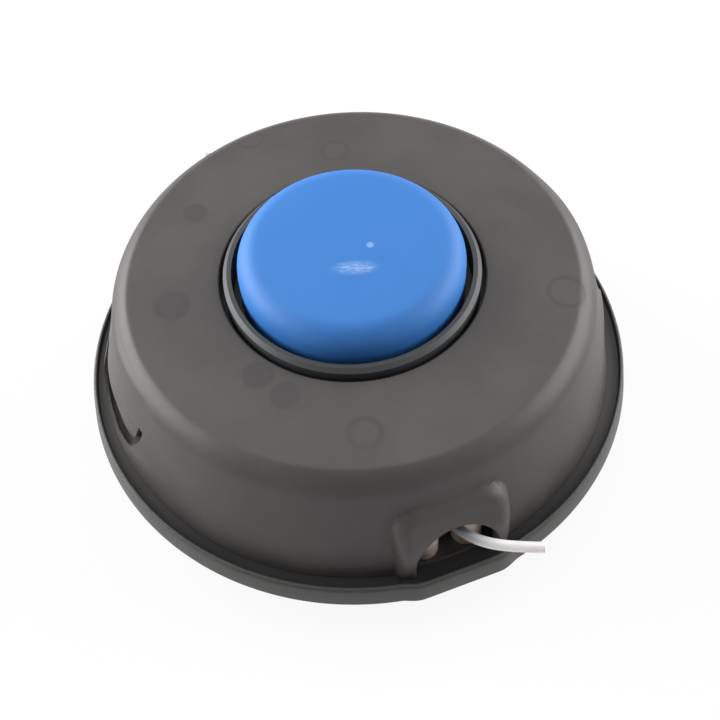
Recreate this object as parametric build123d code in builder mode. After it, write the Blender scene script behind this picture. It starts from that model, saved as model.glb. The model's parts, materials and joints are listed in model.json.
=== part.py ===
"""Tap-to-feed string trimmer head, standing on its gearbox face with the tap button up.

Millimetres.  The head turns about Z, z = 0 is the hub face that meets the gearbox, and the
two line outlets lie on the X axis.
"""

import os
from math import atan2, cos, degrees, pi, radians, sin, sqrt, tan

from build123d import *

os.makedirs("parts", exist_ok=True)

# Base housing: hub, floor, rim and bead
flange_radius = 65.0
hub_radius = 19.0
hub_height = 12.0
hub_flare = 1.5
floor_thickness = 3.0
rim_wall = 2.2
rim_draft = 0.6
rim_core_depth = 2.2
rim_core_width = 4.0
ledge_height = 4.3
bead_height = 1.5
bead_width = 0.6
bead_step = 0.4
bead_inner_draft = 0.15
rib_count = 12
rib_thickness = 2.0
rib_hub_depth = 9.0
rib_tip_depth = 1.2
lip_length = 23.0
lip_corner = 0.9

# Spigot ring inside the cover, with a keeper for each latch tab
ring_setback = 5.3
ring_wall = 1.8
ring_height = 6.0
keeper_height = 12.0
keeper_angle = 16.0
keeper_frame = 2.0

# Arbor nut pressed into the hub
nut_flats = 19.0
nut_height = 13.0
nut_recess = 0.5
thread_minor_radius = 5.05
nut_clearance = 0.05
mouth_clearance = 0.3
mouth_depth = 2.0
spindle_hole_radius = 6.5
hole_draft = 0.15

# Cover dome
wall_setback = 4.5
wall_lean = 6.3
cover_height = 31.2
crown_drop = 1.0
crown_wall = 2.6
side_wall = 2.4
shoulder_fillet = 6.0
opening_radius = 29.9
opening_edge = 0.5

# Line outlets: hood on the wall and arched window
hood_setback = 3.7
hood_half_width = 13.2
hood_knee_height = 10.2
hood_crest_height = 20.2
hood_knee_fillet = 8.0
hood_edge_fillet = 3.2
hood_wall = 2.4
window_radius = 9.4
window_spring_height = 4.3

# Latch tabs moulded in the cover wall, each on a pad that is rounded about an axis of its own
latch_azimuth = 90.0
pad_axis_radius = 20.0
pad_rise = 0.2
pad_height = 9.7
pad_crest_height = 23.7
tab_half_width = 14.6
tab_foot_height = 4.4
tab_height = 10.3
tab_corner = 8.0
tab_slit = 1.8
tab_step = 0.15
hook_angle = 10.0
hook_height = 2.0
hook_reach = 2.6
latch_clearance = 0.3

# Cutting line and the sleeves that it runs between
line_diameter = 2.4
line_play = 0.5
line_height = 26.0
sleeve_radius = 3.5
sleeve_pin_radius = 2.0
sleeve_fit = 0.15
sleeve_height = 12.5
sleeve_clearance = 4.5
pin_stub = 1.0
outlet_margin = 2.0
outlet_step = 0.5
line_start_clearance = 0.9
line_start_offset = -0.3
# Corners and end of the line's run: distance beyond the hood's face, and distance round the head
line_bends = [(-5.1, 0.1), (0.5, 3.3), (4.7, 9.0), (7.8, 16.4)]
bend_share = 0.45

# Spool
spool_setback = 19.0
core_radius = 22.0
core_wall = 1.6
spool_flange = 1.8
spool_divider = 1.6
post_radius = 9.0
post_fit = 0.1
hub_tube_wall = 1.8
recess_radius = 15.5
recess_wall = 1.5
recess_roof = 2.6
core_rib_thickness = 1.5
core_rib_count = 6
line_notch_width = 3.2
line_notch_depth = 6.0
collar_wall = 1.9
collar_play = 0.9
collar_rise = 2.0
collar_chamfer = 0.9

# Winding in each chamber
winding_freeboard = 5.2
winding_clearance = 0.25

# Tap travel and the cams that let the spool step round
tap_travel = 7.0
cam_count = 6
cam_height = 2.2
cam_clearance = 0.3
cam_angle = 14.0
cam_lead = 12.0
cam_stop_gap = 3.0
cam_inner_radius = 32.0
cam_outer_radius = 40.0
step_angle = 30.0

# Return spring and its washer
spring_mean_radius = 13.2
spring_wire = 1.6
spring_turns = 6.0
spring_gap = 0.1
washer_thickness = 1.0
washer_clearance = 0.3
register_wall = 1.2
register_height = 1.5
register_clearance = 0.4

# Tap button
button_radius = 25.5
button_rise = 7.4
button_crown = 0.7
button_edge_fillet = 5.2
button_wall = 2.6
leg_count = 3
leg_angle = 18.0
leg_thickness = 1.5
leg_clearance = 0.35
leg_hook = 1.1
leg_hook_height = 1.9

# How near an edge's middle lies to the line that it is picked by, and how far a cut runs past a wall
edge_tolerance = 0.01
cut_over = 1.0

# Radii that keep step with the flange
cover_bottom_radius = flange_radius - wall_setback
cover_shoulder_radius = cover_bottom_radius - wall_lean
ring_outer_radius = cover_bottom_radius - ring_setback
hood_face = flange_radius - hood_setback
spool_radius = flange_radius - spool_setback
winding_radius = spool_radius - winding_freeboard
sleeve_station = spool_radius + sleeve_clearance + sleeve_radius

# Levels
floor_top = hub_height + floor_thickness
ledge_top = hub_height + ledge_height
bead_top = ledge_top + bead_height
cover_top = ledge_top + cover_height
ceiling = cover_top - crown_wall
spool_top = ceiling - cam_height - cam_clearance
spool_bottom = floor_top + cam_height + cam_clearance + tap_travel
web_bottom = spool_top - spool_flange
post_top = web_bottom - tap_travel - 2 * cam_clearance
recess_top = web_bottom - recess_roof
washer_top = recess_top - spring_gap
washer_bottom = washer_top - washer_thickness
chamber = (spool_top - spool_bottom - 2 * spool_flange - spool_divider) / 2
divider_bottom = spool_bottom + spool_flange + chamber
divider_top = divider_bottom + spool_divider
nut_top = nut_recess + nut_height
collar_outer_radius = opening_radius - collar_play
collar_inner_radius = collar_outer_radius - collar_wall
collar_top = cover_top + collar_rise
sleeve_pitch = 2 * sleeve_radius + line_diameter + 2 * line_play
outlet_half_width = sleeve_pitch / 2 + sleeve_radius + outlet_margin
wall_slope = (cover_bottom_radius - cover_shoulder_radius) / (cover_height - crown_drop)
wall_draft = degrees(atan2(cover_bottom_radius - cover_shoulder_radius, cover_height - crown_drop))
outlet_angles = (0.0, 180.0)
latch_angles = (latch_azimuth, latch_azimuth + 180.0)


def wall_radius(z):
    """Outside radius of the cover's sloping wall at height z."""
    return cover_bottom_radius - wall_slope * (z - ledge_top)


def inner_wall_radius(z):
    """Inside radius of the cover's sloping wall at height z."""
    return wall_radius(z) - side_wall / cos(radians(wall_draft))


def radial_plane(angle):
    """Upright plane through the axis: local x runs outwards, local y up."""
    c, s = cos(radians(angle)), sin(radians(angle))
    return Plane(origin=(0, 0, 0), x_dir=(c, s, 0), z_dir=(s, -c, 0))


def facing_plane(angle, distance):
    """Upright plane square to a radius: local x runs round the head, local y up."""
    c, s = cos(radians(angle)), sin(radians(angle))
    return Plane(origin=(c * distance, s * distance, 0), x_dir=(-s, c, 0), z_dir=(c, s, 0))


def ring_sector(inner, outer, middle, width):
    """Add a piece of a flat ring, width degrees long, to the open sketch."""
    out = CenterArc((0, 0), outer, middle - width / 2, width)
    back = CenterArc((0, 0), inner, middle - width / 2, width)
    make_face([out, Line(out @ 1, back @ 1), back, Line(back @ 0, out @ 0)])


def cam_ring(first):
    """Add a ring of evenly spaced cams, the first one centred on the angle given."""
    for index in range(cam_count):
        ring_sector(cam_inner_radius, cam_outer_radius, first + index * 360.0 / cam_count, cam_angle)


def outline(points):
    """Add a closed straight-sided face to the open sketch."""
    Polygon(*points, align=None)


def tab_outline(half_width, bottom, corner, mode=Mode.ADD):
    """Add an upright face with rounded lower corners, which runs on above the tab, to the open sketch."""
    height = tab_height + 2 * corner
    with Locations((0, bottom + height / 2)):
        RectangleRounded(2 * half_width, height, corner, mode=mode)


def trim_above_tab():
    """Take what lies above the tab off the open sketch."""
    with Locations((0, tab_top)):
        Rectangle(4 * tab_half_width, 4 * tab_corner, align=(Align.CENTER, Align.MIN), mode=Mode.SUBTRACT)


def rim_points():
    """Outer edge of the rim, from its foot over the bead to the ledge."""
    shoulder = flange_radius - rim_draft
    bead_outer = shoulder - bead_step
    bead_inner = bead_outer - bead_width
    return [
        (flange_radius, hub_height),
        (shoulder, bead_top - 2 * bead_step),
        (bead_outer, bead_top - bead_step),
        (bead_outer, bead_top),
        (bead_inner, bead_top),
        (bead_inner - bead_inner_draft, ledge_top),
    ]


# Base housing
core_outer = flange_radius - rim_wall
core_inner = core_outer - rim_core_width
core_top = hub_height + rim_core_depth
ring_inner_radius = ring_outer_radius - ring_wall
register_outer = spring_mean_radius - spring_wire / 2 - register_clearance
register_inner = register_outer - register_wall
tab_foot = ledge_top + tab_foot_height
hook_bottom = tab_foot + tab_slit
window_bottom = hook_bottom - latch_clearance
window_height = hook_height + 2 * latch_clearance
keeper_window_angle = keeper_angle - 2 * keeper_frame
outlet_start = sleeve_station - sleeve_radius - cut_over
outlet_end = sleeve_station + sleeve_radius + outlet_step
pin_height = sleeve_height + pin_stub
bead_foot = rim_points()[-1][0]

with BuildPart() as base_housing:
    with BuildSketch(Plane.XZ):
        outline(
            [
                (0, 0),
                (hub_radius, 0),
                (hub_radius + hub_flare, hub_height),
                (core_inner, hub_height),
                (core_inner, core_top),
                (core_outer, core_top),
                (core_outer, hub_height),
                *rim_points(),
                (ring_outer_radius, ledge_top),
                (ring_outer_radius, floor_top + ring_height),
                (ring_inner_radius, floor_top + ring_height),
                (ring_inner_radius, floor_top),
                (register_outer, floor_top),
                (register_outer, floor_top + register_height),
                (register_inner, floor_top + register_height),
                (register_inner - hole_draft, floor_top),
                (post_radius, floor_top),
                (post_radius, post_top),
                (0, post_top),
            ]
        )
    revolve(axis=Axis.Z)
    # Tapered stiffening ribs on the gearbox side
    with BuildSketch(*[radial_plane(index * 360.0 / rib_count) for index in range(rib_count)]):
        outline(
            [
                (hub_radius, hub_height - rib_hub_depth),
                (core_inner, hub_height - rib_tip_depth),
                (core_inner, hub_height),
                (hub_radius, hub_height),
            ]
        )
    extrude(amount=rib_thickness / 2, both=True)
    # Straight lip in front of each outlet, with the rim's own section
    with BuildSketch(*[facing_plane(angle, bead_foot - rim_wall) for angle in outlet_angles]):
        with Locations((0, ledge_top)):
            Rectangle(lip_length, 2 * bead_height, align=(Align.CENTER, Align.MIN))
    extrude(amount=2 * rim_wall + rim_draft, mode=Mode.SUBTRACT)
    with BuildSketch(*[radial_plane(angle) for angle in outlet_angles]):
        outline(
            [
                (core_outer, hub_height),
                *rim_points(),
                (core_inner, ledge_top),
                (core_inner, core_top),
                (core_outer, core_top),
            ]
        )
    extrude(amount=lip_length / 2, both=True)
    lip_edges = base_housing.edges().filter_by(
        lambda edge: abs(abs(edge.center().Y) - lip_length / 2) < edge_tolerance
        and abs(edge.center().X) > flange_radius - rim_draft
        and edge.length > bead_height
    )
    chamfer(lip_edges, lip_corner)
    # Keepers for the latch hooks
    with BuildSketch(Plane.XY.offset(floor_top)):
        for angle in latch_angles:
            ring_sector(ring_inner_radius, ring_outer_radius, angle, keeper_angle)
    extrude(amount=keeper_height)
    with BuildSketch(Plane.XY.offset(window_bottom)):
        for angle in latch_angles:
            ring_sector(
                ring_inner_radius - cut_over,
                ring_outer_radius + cut_over,
                angle,
                keeper_window_angle,
            )
    extrude(amount=window_height, mode=Mode.SUBTRACT)
    # Gap in the ring at each outlet, down to the floor
    with BuildSketch(*[facing_plane(angle, outlet_start) for angle in outlet_angles]):
        with Locations((0, floor_top)):
            Rectangle(2 * outlet_half_width, 2 * ring_height, align=(Align.CENTER, Align.MIN))
    extrude(amount=outlet_end - outlet_start, mode=Mode.SUBTRACT)
    # Pins for the sleeves
    with Locations(Plane.XY.offset(floor_top)):
        with GridLocations(2 * sleeve_station, sleeve_pitch, 2, 2):
            Cylinder(sleeve_pin_radius, pin_height, align=(Align.CENTER, Align.CENTER, Align.MIN))
    # Cams that catch the spool at the bottom of its travel
    first_base_cam = cam_angle / 2 + step_angle + cam_stop_gap + cam_angle / 2
    with BuildSketch(Plane.XY.offset(floor_top)):
        cam_ring(first_base_cam)
    extrude(amount=cam_height)
    # Hexagon pocket for the nut with a round mouth, and the tapered spindle hole above it
    with BuildSketch():
        Circle(nut_flats / 2 / cos(pi / 6) + mouth_clearance)
    extrude(amount=mouth_depth, mode=Mode.SUBTRACT)
    with BuildSketch():
        RegularPolygon(nut_flats / 2 + nut_clearance, 6, major_radius=False)
    extrude(amount=nut_top, mode=Mode.SUBTRACT)
    with Locations((0, 0, nut_top)):
        Cone(
            spindle_hole_radius,
            spindle_hole_radius - hole_draft,
            post_top - nut_top,
            align=(Align.CENTER, Align.CENTER, Align.MIN),
            mode=Mode.SUBTRACT,
        )

# Arbor nut
with BuildPart() as arbor_nut:
    with BuildSketch(Plane.XY.offset(nut_recess)):
        RegularPolygon(nut_flats / 2, 6, major_radius=False)
        Circle(thread_minor_radius, mode=Mode.SUBTRACT)
    extrude(amount=nut_height)

# Cover
crest_z = ledge_top + hood_crest_height
knee_z = ledge_top + hood_knee_height
crest_radius = wall_radius(crest_z)
hood_root = crest_radius - hood_half_width
spring_z = ledge_top + window_spring_height
tab_span = 2 * side_wall + hook_reach
tab_top = tab_foot + tab_height
tab_plane_distance = wall_radius(tab_foot) - tab_span
tab_depth = flange_radius - tab_plane_distance
pad_radius = cover_bottom_radius + pad_rise - pad_axis_radius
pad_crest_radius = wall_radius(ledge_top + pad_crest_height) - pad_axis_radius
pad_taper = (pad_radius - pad_crest_radius) / (pad_crest_height - pad_height)
tab_face_radius = pad_radius - pad_taper * (tab_top - ledge_top - pad_height) - tab_step
pad_places = [
    (pad_axis_radius * cos(radians(angle)), pad_axis_radius * sin(radians(angle))) for angle in latch_angles
]
cam_root = crown_wall / 3
hook_wall_radius = inner_wall_radius(hook_bottom + hook_height)
first_cover_cam = cam_angle / 2 + cam_lead + cam_angle / 2

# Hood over each outlet: an upright face that leans back into the wall above its knee
with BuildPart() as hood:
    with BuildSketch(Plane.XZ) as hood_section:
        outline(
            [
                (hood_root, ledge_top),
                (hood_face, ledge_top),
                (hood_face, knee_z),
                (crest_radius, crest_z),
                (hood_root, crest_z),
            ]
        )
        fillet(hood_section.vertices().sort_by_distance((hood_face, knee_z, 0))[0], hood_knee_fillet)
    extrude(amount=hood_half_width, both=True)
    hood_ends = hood.faces().sort_by(Axis.Y)
    hood_edges = (hood_ends[0].edges() + hood_ends[-1].edges()).filter_by(
        lambda edge: edge.center().X > crest_radius and edge.center().Z > ledge_top + edge_tolerance
    )
    fillet(hood_edges, hood_edge_fillet)

# Hollow that sets each tab's face back from its pad
with BuildPart() as tab_recess:
    with BuildSketch(*[facing_plane(angle, tab_plane_distance) for angle in latch_angles]):
        tab_outline(tab_half_width - tab_slit / 2, tab_foot + tab_slit / 2, tab_corner - tab_slit / 2)
        trim_above_tab()
    extrude(amount=tab_depth)
    with Locations(*[(x, y, tab_foot) for x, y in pad_places]):
        Cylinder(
            tab_face_radius,
            tab_height + cut_over,
            align=(Align.CENTER, Align.CENTER, Align.MIN),
            mode=Mode.SUBTRACT,
        )

with BuildPart() as lower_cover:
    with BuildSketch(Plane.XZ) as dome_section:
        outline(
            [
                (0, ledge_top),
                (cover_bottom_radius, ledge_top),
                (cover_shoulder_radius, cover_top - crown_drop),
                (opening_radius, cover_top),
                (0, cover_top),
            ]
        )
        shoulder = (cover_shoulder_radius, cover_top - crown_drop, 0)
        fillet(dome_section.vertices().sort_by_distance(shoulder)[0], shoulder_fillet)
    revolve(axis=Axis.Z)
    for angle in outlet_angles:
        add(hood.part.rotate(Axis.Z, angle))
    # Pad round each latch tab, upright below and leaning back into the wall above
    standing = (Align.CENTER, Align.CENTER, Align.MIN)
    with Locations(*[(x, y, ledge_top) for x, y in pad_places]):
        Cylinder(pad_radius, pad_height, align=standing)
    with Locations(*[(x, y, ledge_top + pad_height) for x, y in pad_places]):
        Cone(pad_radius, pad_crest_radius, pad_crest_height - pad_height, align=standing)
    add(tab_recess.part, mode=Mode.SUBTRACT)
    # Hollow of the dome
    with BuildSketch(Plane.XZ) as hollow_section:
        outline(
            [
                (0, ledge_top),
                (inner_wall_radius(ledge_top), ledge_top),
                (inner_wall_radius(ceiling), ceiling),
                (0, ceiling),
            ]
        )
        corner = (inner_wall_radius(ceiling), ceiling, 0)
        fillet(hollow_section.vertices().sort_by_distance(corner)[0], shoulder_fillet - side_wall)
    revolve(axis=Axis.Z, mode=Mode.SUBTRACT)
    # Hollow of each hood
    with BuildSketch(*[radial_plane(angle) for angle in outlet_angles]):
        outline(
            [
                (hood_root, ledge_top),
                (hood_face - hood_wall, ledge_top),
                (hood_face - hood_wall, knee_z - hood_wall / 2),
                (crest_radius - hood_wall, crest_z - hood_wall),
                (hood_root, crest_z - hood_wall),
            ]
        )
    extrude(amount=hood_half_width - hood_wall, both=True, mode=Mode.SUBTRACT)
    # Arched window through each hood
    with BuildSketch(*[facing_plane(angle, hood_face - 3 * hood_wall) for angle in outlet_angles]):
        with Locations((0, spring_z)):
            Circle(window_radius)
        with Locations((0, ledge_top)):
            Rectangle(2 * window_radius, window_spring_height, align=(Align.CENTER, Align.MIN))
    extrude(amount=4 * hood_wall, mode=Mode.SUBTRACT)
    # Centre opening
    with BuildSketch(Plane.XY.offset(ledge_top)):
        Circle(opening_radius)
    extrude(amount=cover_height, mode=Mode.SUBTRACT)
    # Cams that hold the spool at the top of its travel
    with BuildSketch(Plane.XY.offset(ceiling - cam_height)):
        cam_ring(first_cover_cam)
    extrude(amount=cam_height + cam_root)
    # Slit round the foot and sides of each latch tab
    with BuildSketch(*[facing_plane(angle, tab_plane_distance) for angle in latch_angles]):
        tab_outline(tab_half_width, tab_foot, tab_corner)
        tab_outline(tab_half_width - tab_slit, tab_foot + tab_slit, tab_corner - tab_slit, Mode.SUBTRACT)
        trim_above_tab()
    extrude(amount=tab_depth, mode=Mode.SUBTRACT)
    # Hook inside each tab
    with BuildSketch(Plane.XY.offset(hook_bottom)):
        for angle in latch_angles:
            ring_sector(hook_wall_radius - hook_reach, hook_wall_radius + side_wall / 2, angle, hook_angle)
    extrude(amount=hook_height)
    rim_edge = lower_cover.edges().filter_by(GeomType.CIRCLE).group_by(Axis.Z)[-1]
    chamfer(rim_edge, opening_edge)

# Sleeves, two at each outlet
sleeves = {}
for side, x in (("front", sleeve_station), ("rear", -sleeve_station)):
    for hand, y in (("left", -sleeve_pitch / 2), ("right", sleeve_pitch / 2)):
        with BuildPart() as line_sleeve:
            with BuildSketch(Plane((x, y, floor_top))):
                Circle(sleeve_radius)
                Circle(sleeve_pin_radius + sleeve_fit, mode=Mode.SUBTRACT)
            extrude(amount=sleeve_height)
        sleeves[f"line_sleeve_{side}_{hand}"] = line_sleeve.part

# Spool
recess_outer = recess_radius + recess_wall
core_hollow = core_radius - core_wall
bore_radius = post_radius + post_fit
leg_inner = recess_outer + leg_clearance
leg_outer = leg_inner + leg_thickness
leg_angles = [index * 360.0 / leg_count for index in range(leg_count)]
slot_angle = leg_angle + 2 * degrees(leg_clearance / leg_inner)
core_rib_pitch = 360.0 / core_rib_count
core_rib_angles = [core_rib_pitch / 2 + index * core_rib_pitch for index in range(core_rib_count)]

with BuildPart() as spool:
    with BuildSketch(Plane.XZ):
        outline(
            [
                (0, web_bottom),
                (bore_radius, web_bottom),
                (bore_radius, spool_bottom),
                (bore_radius + hub_tube_wall, spool_bottom),
                (bore_radius + hub_tube_wall, recess_top),
                (recess_radius, recess_top),
                (recess_radius, spool_bottom),
                (recess_outer, spool_bottom),
                (recess_outer, web_bottom),
                (core_hollow, web_bottom),
                (core_hollow, spool_bottom),
                (spool_radius, spool_bottom),
                (spool_radius, spool_bottom + spool_flange),
                (core_radius, spool_bottom + spool_flange),
                (core_radius, divider_bottom),
                (spool_radius, divider_bottom),
                (spool_radius, divider_top),
                (core_radius, divider_top),
                (core_radius, web_bottom),
                (spool_radius, web_bottom),
                (spool_radius, spool_top),
                (collar_outer_radius, spool_top),
                (collar_outer_radius, collar_top - collar_chamfer),
                (collar_outer_radius - collar_chamfer, collar_top),
                (collar_inner_radius, collar_top),
                (collar_inner_radius, spool_top),
                (0, spool_top),
            ]
        )
    revolve(axis=Axis.Z)
    # Ribs across the hollow core
    with BuildSketch(*[radial_plane(angle) for angle in core_rib_angles]):
        outline(
            [
                (recess_outer - recess_wall / 2, spool_bottom + spool_flange),
                (core_hollow + core_wall / 2, spool_bottom + spool_flange),
                (core_hollow + core_wall / 2, web_bottom),
                (recess_outer - recess_wall / 2, web_bottom),
            ]
        )
    extrude(amount=core_rib_thickness / 2, both=True)
    # Cam teeth above and below
    with BuildSketch(Plane.XY.offset(spool_top)):
        cam_ring(0)
    extrude(amount=cam_height)
    with BuildSketch(Plane.XY.offset(spool_bottom)):
        cam_ring(0)
    extrude(amount=-cam_height)
    # Slots for the button's snap legs
    with BuildSketch(Plane.XY.offset(web_bottom)):
        for angle in leg_angles:
            ring_sector(recess_outer, leg_outer + leg_clearance, angle, slot_angle)
    extrude(amount=spool_flange, mode=Mode.SUBTRACT)
    # Notches in the divider where the line is hooked
    with BuildSketch(*[facing_plane(angle, spool_radius - line_notch_depth) for angle in latch_angles]):
        with Locations((0, divider_bottom)):
            Rectangle(line_notch_width, spool_divider, align=(Align.CENTER, Align.MIN))
    extrude(amount=2 * line_notch_depth, mode=Mode.SUBTRACT)

# Line wound in the two chambers, a turn's round edge at each bulge
turns_across = int((chamber - 2 * winding_clearance) / line_diameter)
turn_pitch = (chamber - 2 * winding_clearance) / turns_across
windings = {}
for name, chamber_bottom in (("lower", spool_bottom + spool_flange), ("upper", divider_top)):
    winding_bottom = chamber_bottom + winding_clearance
    with BuildPart() as line_winding:
        with BuildSketch(Plane.XZ):
            with BuildLine():
                for turn in range(turns_across):
                    low = winding_bottom + turn * turn_pitch
                    ThreePointArc(
                        (winding_radius, low),
                        (winding_radius + line_diameter / 2, low + turn_pitch / 2),
                        (winding_radius, low + turn_pitch),
                    )
                Polyline(
                    (winding_radius, winding_bottom + turns_across * turn_pitch),
                    (core_radius + winding_clearance, winding_bottom + turns_across * turn_pitch),
                    (core_radius + winding_clearance, winding_bottom),
                    (winding_radius, winding_bottom),
                )
            make_face()
        revolve(axis=Axis.Z)
    windings[f"line_winding_{name}"] = line_winding.part

# Free line end at each outlet: straight out between the sleeves, then bending round the head
line_start = (spool_radius + line_start_clearance, line_start_offset)
line_route = [line_start] + [(hood_face + out, along) for out, along in line_bends]


def bend_radii(points):
    """Largest tangent arc that each corner's two runs leave room for."""
    radii = []
    for before, here, after in zip(points, points[1:], points[2:]):
        run_in = Vector(here[0] - before[0], here[1] - before[1])
        run_out = Vector(after[0] - here[0], after[1] - here[1])
        half_turn = radians(run_in.get_angle(run_out)) / 2
        radii.append(bend_share * min(run_in.length, run_out.length) / tan(half_turn))
    return radii


line_radii = bend_radii(line_route)
line_ends = {}
for side, turn in (("front", 0.0), ("rear", 180.0)):
    line_plane = Plane.XY.offset(line_height).rotated((0, 0, turn))
    with BuildPart() as line_end:
        with BuildLine(line_plane) as line_path:
            FilletPolyline(*line_route, radius=line_radii)
        with BuildSketch(Plane(origin=line_path.line @ 0, z_dir=line_path.line % 0)):
            Circle(line_diameter / 2)
        sweep()
    line_ends[f"line_end_{side}"] = line_end.part
    line_area = pi * line_diameter**2 / 4
    line_length = line_path.wire().length
    print(f"line_end_{side}: length {line_length:.2f}, radii {[round(r, 1) for r in line_radii]}")
    print(f"  volume {line_end.part.volume:.2f} against {line_area * line_length:.2f}")

# Return spring, from the floor to the washer
spring_bottom = floor_top + spring_gap
spring_height = washer_bottom - spring_gap - spring_bottom
helix_rise = spring_height - spring_wire
with BuildPart() as return_spring:
    with BuildLine(Plane.XY.offset(spring_bottom + spring_wire / 2)) as spring_path:
        Helix(helix_rise / spring_turns, helix_rise, spring_mean_radius)
    with BuildSketch(Plane(origin=spring_path.line @ 0, z_dir=spring_path.line % 0)):
        Circle(spring_wire / 2)
    sweep(is_frenet=True)

# Thrust washer between spring and spool
with BuildPart() as spring_washer:
    with BuildSketch(Plane.XY.offset(washer_bottom)):
        Circle(recess_radius - washer_clearance)
        Circle(bore_radius + hub_tube_wall + washer_clearance, mode=Mode.SUBTRACT)
    extrude(amount=washer_thickness)

# Tap button
button_edge = collar_top + button_rise - button_crown
crown_radius = (button_radius**2 + button_crown**2) / (2 * button_crown)
crown_centre = button_edge + button_crown - crown_radius
hook_top = web_bottom - leg_clearance
with BuildPart() as tap_button:
    with BuildSketch(Plane.XZ) as button_section:
        with BuildLine():
            Polyline((0, spool_top), (button_radius, spool_top), (button_radius, button_edge))
            ThreePointArc(
                (button_radius, button_edge),
                (button_radius / 2, crown_centre + sqrt(crown_radius**2 - button_radius**2 / 4)),
                (0, button_edge + button_crown),
            )
            Line((0, button_edge + button_crown), (0, spool_top))
        make_face()
        rim = (button_radius, button_edge, 0)
        fillet(button_section.vertices().sort_by_distance(rim)[0], button_edge_fillet)
    revolve(axis=Axis.Z)
    with BuildSketch(Plane.XZ) as inside_section:
        outline(
            [
                (0, spool_top),
                (button_radius - button_wall, spool_top),
                (button_radius - button_wall, button_edge - button_wall),
                (0, button_edge - button_wall),
            ]
        )
        inside_corner = (button_radius - button_wall, button_edge - button_wall, 0)
        fillet(
            inside_section.vertices().sort_by_distance(inside_corner)[0],
            button_edge_fillet - button_wall / 2,
        )
    revolve(axis=Axis.Z, mode=Mode.SUBTRACT)
    # Snap legs that hook under the spool's web
    with BuildSketch(Plane.XY.offset(hook_top - leg_hook_height)):
        for angle in leg_angles:
            ring_sector(leg_inner, leg_outer, angle, leg_angle)
    extrude(amount=button_edge - button_wall / 2 - hook_top + leg_hook_height)
    with BuildSketch(Plane.XY.offset(hook_top - leg_hook_height)):
        for angle in leg_angles:
            ring_sector(leg_inner, leg_outer + leg_hook, angle, leg_angle)
    extrude(amount=leg_hook_height)

pieces = {
    "base_housing": base_housing.part,
    "arbor_nut": arbor_nut.part,
    "lower_cover": lower_cover.part,
    **sleeves,
    "spool": spool.part,
    **windings,
    **line_ends,
    "return_spring": return_spring.part,
    "spring_washer": spring_washer.part,
    "tap_button": tap_button.part,
}
for label, piece in pieces.items():
    piece.label = label
    export_step(piece, f"parts/{label}.step")
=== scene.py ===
"""Tap-to-feed trimmer head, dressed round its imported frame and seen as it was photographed.

Sizes are in millimetres and become metres where a mesh is made.  Z is the head's axis, the
gearbox side is down, and the two line outlets lie on the X axis.
"""

import json
from math import atan, ceil, cos, hypot, pi, radians, sin, sqrt, tan

import bmesh
import bpy
from mathutils import Matrix, Vector


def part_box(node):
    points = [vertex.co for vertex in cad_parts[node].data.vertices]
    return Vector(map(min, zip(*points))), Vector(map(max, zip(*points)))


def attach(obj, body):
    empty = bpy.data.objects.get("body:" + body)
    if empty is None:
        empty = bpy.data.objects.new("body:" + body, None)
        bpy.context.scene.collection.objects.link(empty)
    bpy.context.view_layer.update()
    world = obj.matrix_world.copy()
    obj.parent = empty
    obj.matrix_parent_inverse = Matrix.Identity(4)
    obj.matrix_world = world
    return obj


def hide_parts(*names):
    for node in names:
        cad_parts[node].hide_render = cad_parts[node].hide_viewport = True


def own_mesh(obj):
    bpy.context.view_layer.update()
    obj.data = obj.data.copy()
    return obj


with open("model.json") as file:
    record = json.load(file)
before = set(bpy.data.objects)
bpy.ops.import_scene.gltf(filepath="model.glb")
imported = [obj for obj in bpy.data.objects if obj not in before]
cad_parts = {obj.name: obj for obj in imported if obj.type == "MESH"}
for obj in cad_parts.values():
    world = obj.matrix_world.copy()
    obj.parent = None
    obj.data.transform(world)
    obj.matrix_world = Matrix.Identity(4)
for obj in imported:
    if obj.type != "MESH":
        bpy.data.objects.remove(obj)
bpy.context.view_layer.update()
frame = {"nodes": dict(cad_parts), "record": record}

for startup in ("Cube", "Light", "Camera"):
    if startup in bpy.data.objects:
        bpy.data.objects.remove(bpy.data.objects[startup])

MM = 0.001
NODE_BODY = {node: body for body, nodes in frame["record"]["behaviour"]["bodies"].items() for node in nodes}
NODE_SLOT = {part["node"]: part["material_slot"] for part in frame["record"]["subparts"]}


def extent(node):
    """Lowest and highest corners of a node at rest, in millimetres."""
    low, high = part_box(node)
    return Vector(low) / MM, Vector(high) / MM


# Levels and radii that the frame gives
cover_low, cover_high = extent("lower_cover")
spring_low, spring_high = extent("return_spring")
ledge_top = cover_low.z
cover_top = cover_high.z
hood_face = cover_high.x

# Cover dome
bottom_radius = 60.5
shoulder_radius = 54.2
crown_drop = 1.0
crown_wall = 2.6
side_wall = 2.4
shoulder_fillet = 7.6
shoulder_break = radians(22.0)
shoulder_crease = 0.5
inner_fillet = 3.6
opening_radius = 29.9
opening_round = 0.6
foot_round = 0.3
shoulder_height = cover_top - crown_drop
ceiling = cover_top - crown_wall
wall_slope = (bottom_radius - shoulder_radius) / (shoulder_height - ledge_top)
wall_across = side_wall * hypot(1, wall_slope)

# Hood over each line outlet, and its arched window
outlet_angles = (0.0, pi)
hood_half_width = 13.2
hood_knee = ledge_top + 10.2
hood_crest = ledge_top + 20.2
hood_edge_round = 3.2
hood_crest_round = 6.0
hood_inner_round = 1.2
hood_wall = 2.4
hood_knee_blend = 1.1
hood_root_blend = 1.1
hood_roof_slope = 0.36
hood_brow = hood_crest - 1.3
hood_brow_slope = 2.2
hood_brow_blend = 1.4
hood_reach = radians(17.0)
window_radius = 9.4
window_spring = ledge_top + 4.3
window_edge = 0.45

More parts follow.
